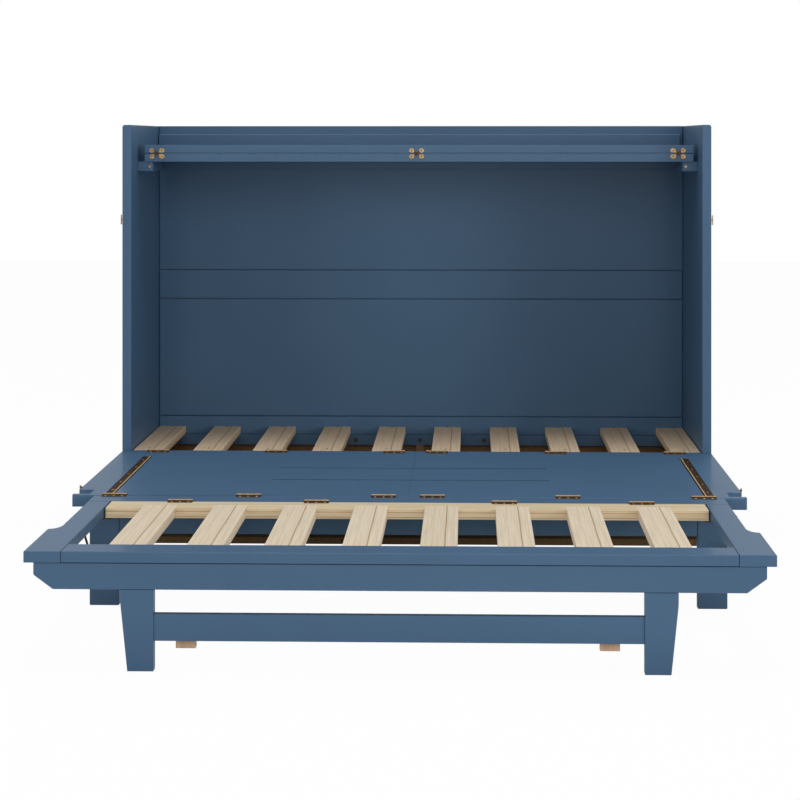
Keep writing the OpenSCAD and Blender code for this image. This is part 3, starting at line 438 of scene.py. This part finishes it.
# Darker lines as (axis, [(place, half width, strength)], how far they wander)
SLAT_LINES = ("X", [(13.0, 2.2, 1.0), (30.5, 1.2, 0.35), (-15.0, 1.4, 0.25), (-31.0, 0.9, 0.2)],
              1.4)
BEAM_LINES = ("Z", [(231.5, 1.3, 0.8), (243.0, 1.3, 0.9), (247.5, 0.6, 0.3)], 0.5)
# Painted shadow of the lid hinges' straps: dark lines across their lobe plates
LID_HINGE_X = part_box("lid_hinge_fixed_plates")[1][0] / MM - LOBE_HALF_PITCH_MM - LOBE_RADIUS_MM
STRAP_SHADOW_LINES = ("X", [(x, 1.4 * STRAP_HALF_MM, 3.0) for x in (-LID_HINGE_X, 0.0, LID_HINGE_X)],
               0.0)
materials = {
    "blue_paint": paint_material(),
    # Painted shade: the blue lacquer at 0.12 of its brightness, for the panel's grooves and seam
    # and the foot's open joints
    "recess": paint_material("recess_lacquer", 0.12),
    "slat": pine_material("pine_slat", 1, "#ecd9bf", "#dfcbad", SLAT_LINES),
    "rear_slat": pine_material("pine_rear_slat", 1, "#e6cbaa", "#dabb98", SLAT_LINES),
    "pine": pine_material("pine_beam", 0, "#e5d1ad", "#d0b690", BEAM_LINES),
    "prop": pine_material("pine_prop", 2, "#8d6c48", "#725434"),
    "block": pine_material("red_pine", 2, "#c2a184", "#ad8c70"),
    "brown_board": board_material("brown_hardboard", "#8f6c49", "#74573a"),
    # Painted shade: a darker copy of the brown hardboard, for the bottom board that lies in the
    # cabinet's shade
    "dark_board": board_material("dark_brown_board", "#765d3d", "#5f492f"),
    "brass": metal_material("brass", "#c79a5e", "#a67a44", 0.32),
    "pale_brass": metal_material("pale_brass", "#c9ab78", "#a98a58", 0.36),
    "dull_brass": metal_material("dull_brass", "#a98b66", "#826646", 0.42),
    "lobe_brass": metal_material("lobe_brass", "#a98f69", "#7f694a", 0.42, STRAP_SHADOW_LINES),
    "hinge": hinge_material(),
    "bright_brass": metal_material("bright_brass", "#d9b987", "#bf9a66", 0.4, metallic=0.2),
    "red_bronze": metal_material("red_bronze", "#8f6140", "#6f4629", 0.5, metallic=0.4),
    "bronze": metal_material("dark_bronze", "#54412c", "#3a2b1d", 0.45),
    "strip_bronze": metal_material("strip_bronze", "#3a2813", "#23180b", 0.6, metallic=0.0,
                                   specular=0.06),
    "dark_steel": metal_material("brown_steel", "#43382f", "#2e2620", 0.5),
}
MATERIAL_OF = {"foot_beam": "pine", "foot_slat_cleat": "pine", "ledger_prop": "prop",
               "stretcher_blocks": "block", "rear_slats": "rear_slat", "foot_slats": "slat",
               "slat_front_ledger": "pine", "bottom_board": "dark_board",
               "edge_strips": "strip_bronze", "lid_hinge_fixed_plates": "lobe_brass",
               "lid_hinge_flap_plates": "lobe_brass", "hook_left": "dull_brass",
               "hook_right": "dull_brass"}
# Halves of the lid hinges, and whether their lobes are at the top
LID_HINGES = {"lid_hinge_fixed_plates": False, "lid_hinge_flap_plates": True}
# Leaves that lie behind their pin, and leaves that lie ahead of it
LEAVES_BEHIND = ("panel_hinge_cabinet_leaves", "spine_hinge_panel_leaves",
                 "foot_hinge_spine_leaves")
LEAVES_AHEAD = ("panel_hinge_panel_leaves", "spine_hinge_spine_leaves",
                "foot_hinge_foot_leaves")


def material_for(node):
    """The finish of a node: by name, then that of the seam hinges, then by its record slot."""
    if node in MATERIAL_OF:
        return materials[MATERIAL_OF[node]]
    if node in LEAVES_BEHIND or node in LEAVES_AHEAD:
        return materials["hinge"]
    return materials[slot_of[node]]


def in_panel_recess(centre, low, high):
    """True inside the front panel's grooves and slots, and on the seam at its middle."""
    depth = (high.z - centre.z) / MM
    if abs(centre.x) < SEAM_HALF_MM * MM:
        return SKIN_MM < depth < SEAM_DEPTH_MM
    off_the_rim = min(centre.y - low.y, high.y - centre.y) > PANEL_RIM_MM * MM
    within_strips = abs(centre.x) < STRIP_OUTER_MM * MM
    return off_the_rim and within_strips and SKIN_MM < depth < SLOT_DEPTH_MM


def on_roll(centre, low, high):
    """True on the rolled edge of an edge strip."""
    return abs(centre.x) < STRIP_ROLL_OUTER_MM * MM


def at_front_joint(centre, low, high):
    """True in the open joints below and beside the foot's front rail."""
    return centre.z < low.z + JOINT_MM * MM or abs(centre.x) > high.x - JOINT_MM * MM


def at_top_joint(centre, low, high):
    """True in the open joint along the top of the apron."""
    return centre.z > high.z - JOINT_MM * MM


def above_lid_cleats(centre, low, high):
    """True on the screws of the lid's cleats."""
    return centre.z > CLEATS_FROM_Z


# A second finish on some of a node's faces, some of it painted shade in grooves and joints:
# (material, test of a face's centre in the node's box)
SECOND_FINISH = {
    "front_panel_left": ("recess", in_panel_recess),
    "front_panel_right": ("recess", in_panel_recess),
    "edge_strips": ("bright_brass", on_roll),
    "foot_front_rail": ("recess", at_front_joint),
    "foot_apron": ("recess", at_top_joint),
    "cabinet_fasteners": ("dull_brass", above_lid_cleats),
}


# Shapes

def link_mesh(name, mesh, node, place=(0, 0, 0)):
    """A new piece that stands for a CAD node, or for part of it, and rides where it rides."""
    piece = bpy.data.objects.new(name, mesh)
    bpy.context.scene.collection.objects.link(piece)
    piece.location = place
    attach(piece, body_of[node])
    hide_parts(node)


def is_corner(edge):
    """True on an edge where two faces meet at a convex corner."""
    if len(edge.link_faces) != 2 or not edge.is_convex:
        return False
    return edge.calc_face_angle() > math.radians(SHARP_DEG)


def join_flats(bm):
    """Joins the triangles of each flat face."""
    bmesh.ops.remove_doubles(bm, verts=bm.verts, dist=MERGE_MM * MM)
    bmesh.ops.dissolve_limit(
        bm, angle_limit=math.radians(FLAT_DEG), verts=bm.verts, edges=bm.edges, delimit={"NORMAL"}
    )
    bm.normal_update()
    for face in bm.faces:
        face.material_index = 0


def ease_corners(bm, width):
    """Rounds every convex corner."""
    corners = [e for e in bm.edges if is_corner(e)]
    if width > 0 and corners:
        bmesh.ops.bevel(
            bm, geom=corners, offset=width, segments=3, profile=0.5, affect="EDGES",
            clamp_overlap=True
        )
        bm.normal_update()


def on_side(point, low, high, side):
    """True at the faces of a box that the signs name."""
    for i in range(3):
        if side[i] < 0 and point[i] > low[i] + MM:
            return False
        if side[i] > 0 and point[i] < high[i] - MM:
            return False
    return True


def round_edge(bm, radius, side):
    """Rounds the edge between the two faces that the signs name."""
    low, high = span(bm)
    edges = [
        e for e in bm.edges
        if is_corner(e) and all(on_side(v.co, low, high, side) for v in e.verts)
    ]
    bmesh.ops.bevel(bm, geom=edges, offset=radius, segments=5, profile=0.5, affect="EDGES")
    bm.normal_update()


def sink_lobe_holes(bm, node):
    """Countersinks the hole of every lobe of a lid hinge from the front."""
    rims = []
    reach = (LOBE_HOLE_MM + 0.2) * MM
    for x, z in lobe_centres(node):
        for edge in bm.edges:
            near = [math.hypot(v.co.x - x, v.co.z - z) < reach for v in edge.verts]
            ahead = [abs(v.co.y - LOBE_FRONT) < 0.1 * MM for v in edge.verts]
            if all(near) and all(ahead):
                rims.append(edge)
    bmesh.ops.bevel(bm, geom=rims, offset=COUNTERSINK_MM * MM, segments=1, affect="EDGES")
    bm.normal_update()


def finish_mesh(bm, name, finishes):
    """A mesh with smooth rounded corners between flat faces."""
    mesh = bpy.data.meshes.new(name)
    bm.to_mesh(mesh)
    bm.free()
    for material in finishes:
        mesh.materials.append(material)
    for polygon in mesh.polygons:
        polygon.use_smooth = True
    mesh.set_sharp_from_angle(angle=math.radians(CREASE_DEG))
    holder = bpy.data.objects.new(name + "_making", mesh)
    bpy.context.scene.collection.objects.link(holder)
    weights = holder.modifiers.new("weights", "WEIGHTED_NORMAL")
    weights.keep_sharp = True
    graph = bpy.context.evaluated_depsgraph_get()
    done = bpy.data.meshes.new_from_object(holder.evaluated_get(graph), depsgraph=graph)
    done.name = name
    bpy.data.objects.remove(holder)
    bpy.data.meshes.remove(mesh)
    return done


def islands(node):
    """The separate solids of a CAD node, each as a bmesh, from left to right."""
    whole = bmesh.new()
    whole.from_mesh(frame["nodes"][node].data)
    bmesh.ops.remove_doubles(whole, verts=whole.verts, dist=MERGE_MM * MM)
    left = set(whole.verts)
    groups = []
    while left:
        stack = [left.pop()]
        group = set(stack)
        while stack:
            for edge in stack.pop().link_edges:
                for vertex in edge.verts:
                    if vertex not in group:
                        group.add(vertex)
                        stack.append(vertex)
        left -= group
        groups.append(group)
    parts = []
    for group in groups:
        part = bmesh.new()
        twin = {v: part.verts.new(v.co) for v in group}
        for face in {f for v in group for f in v.link_faces}:
            part.faces.new([twin[v] for v in face.verts])
        part.normal_update()
        parts.append(part)
    whole.free()
    return sorted(parts, key=lambda part: tuple(round(c, 5) for c in middle(part)))


def span(part):
    """The lowest and highest corner of a bmesh."""
    low = Vector([min(v.co[i] for v in part.verts) for i in range(3)])
    high = Vector([max(v.co[i] for v in part.verts) for i in range(3)])
    return low, high


def middle(part):
    low, high = span(part)
    return (low + high) / 2


def bring_forward(bm, distance):
    """Moves a board's front face forward."""
    front = span(bm)[0].y
    for vertex in bm.verts:
        if vertex.co.y < front + 0.01 * MM:
            vertex.co.y -= distance


def ease_node(node):
    """Replaces a CAD node with a copy whose corners are rounded."""
    bm = bmesh.new()
    bm.from_mesh(frame["nodes"][node].data)
    join_flats(bm)
    if node == "bottom_board":
        bring_forward(bm, BOARD_LIP_MM * MM)
    if node in BROAD_EDGE:
        radius, side = BROAD_EDGE[node]
        round_edge(bm, radius * MM, side)
    if node in LID_HINGES:
        sink_lobe_holes(bm, node)
    ease_corners(bm, EASE_OF.get(node, EASE[slot_of[node]]) * MM)
    finishes = [material_for(node)]
    if node in SECOND_FINISH:
        second, test = SECOND_FINISH[node]
        finishes.append(materials[second])
        low, high = span(bm)
        for face in bm.faces:
            face.material_index = 1 if test(face.calc_center_median(), low, high) else 0
    name = node + "_eased"
    link_mesh(name, finish_mesh(bm, name, finishes), node)


def ease_each(node):
    """Replaces a CAD node with one eased piece for each of its solids, each on its own origin."""
    for number, part in enumerate(islands(node), 1):
        centre = middle(part)
        bmesh.ops.translate(part, verts=part.verts, vec=-centre)
        join_flats(part)
        ease_corners(part, EASE[slot_of[node]] * MM)
        name = "%s_%d" % (node.rstrip("s"), number)
        link_mesh(name, finish_mesh(part, name, [material_for(node)]), node, centre)


# Screws

# A screw head's profile as (radius, height), in shares of its own, with a driver recess
HEAD_PROFILE = [(1.0, 0.0), (0.98, 0.35), (0.86, 0.8), (0.62, 1.0), (0.36, 1.0), (0.3, 0.45),
                (0.0, 0.4)]
HEAD_SIDES = 20


def screw_heads(name, places, facing, radius_mm, height_mm, material, body):
    """Screw heads at places on a body, all facing one way, as one piece."""
    bm = bmesh.new()
    turn = Vector(facing).to_track_quat("Z", "Y").to_matrix().to_4x4()
    for place in places:
        rings = []
        for share, rise in HEAD_PROFILE[:-1]:
            ring = []
            for side in range(HEAD_SIDES):
                angle = 2 * math.pi * side / HEAD_SIDES
                point = Vector((math.cos(angle), math.sin(angle), 0)) * share * radius_mm * MM
                point.z = rise * height_mm * MM
                ring.append(bm.verts.new(turn @ point + Vector(place)))
            rings.append(ring)
        bottom = Vector((0, 0, HEAD_PROFILE[-1][1] * height_mm * MM))
        centre = bm.verts.new(turn @ bottom + Vector(place))
        for lower, upper in zip(rings, rings[1:]):
            for side in range(HEAD_SIDES):
                after = (side + 1) % HEAD_SIDES
                bm.faces.new((lower[side], lower[after], upper[after], upper[side]))
        for side in range(HEAD_SIDES):
            bm.faces.new((rings[-1][side], rings[-1][(side + 1) % HEAD_SIDES], centre))
        bm.faces.new(list(reversed(rings[0])))
    piece = bpy.data.objects.new(name, finish_mesh(bm, name, [material]))
    bpy.context.scene.collection.objects.link(piece)
    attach(piece, body)


def leaf_screws(node, ahead):
    """Three screws in each flat leaf of a seam hinge node."""
    places = []
    for part in islands(node):
        low, high = span(part)
        part.free()
        if high.y - low.y < FLAT_LEAF_MIN_MM * MM:
            continue
        y = low.y + LEAF_SCREW_IN_MM * MM if ahead else high.y - LEAF_SCREW_IN_MM * MM
        for step in (-1, 0, 1):
            x = (low.x + high.x) / 2 + step * LEAF_SCREW_PITCH_MM * MM
            if low.x < x < high.x:
                places.append((x, y, low.z + LEAF_MM * MM))
    screw_heads(node + "_screws", places, (0, 0, 1), LEAF_SCREW_RADIUS_MM, LEAF_SCREW_HEIGHT_MM,
                materials["pale_brass"], body_of[node])


def lobe_centres(node):
    """The middle of each lobe of a lid hinge node, across and up."""
    centres = []
    for part in islands(node):
        low, high = span(part)
        part.free()
        if high.x - low.x < LOBE_HALF_PITCH_MM * MM:
            continue
        z = high.z - LOBE_RADIUS_MM * MM if LID_HINGES[node] else low.z + LOBE_RADIUS_MM * MM
        for side in (-1, 1):
            centres.append(((low.x + high.x) / 2 + side * LOBE_HALF_PITCH_MM * MM, z))
    return centres


def lobe_screws(node):
    """A screw sunk in each lobe of a lid hinge node."""
    depth = (COUNTERSINK_MM + SUNK_BELOW_MM) * MM
    places = [(x, LOBE_FRONT + depth, z) for x, z in lobe_centres(node)]
    screw_heads(node + "_screws", places, (0, -1, 0), LOBE_SCREW_RADIUS_MM, COUNTERSINK_MM,
                materials["red_bronze"], body_of[node])


bpy.context.scene.view_settings.view_transform = "Standard"
add_camera()
add_world()
add_floor()
for softbox in SOFTBOXES:
    add_lamp(*softbox)

EACH = {"rear_slats", "foot_slats"}
for node in slot_of:
    if node in EACH:
        ease_each(node)
    else:
        ease_node(node)
for node in LEAVES_BEHIND:
    leaf_screws(node, False)
for node in LEAVES_AHEAD:
    leaf_screws(node, True)
for node in LID_HINGES:
    lobe_screws(node)
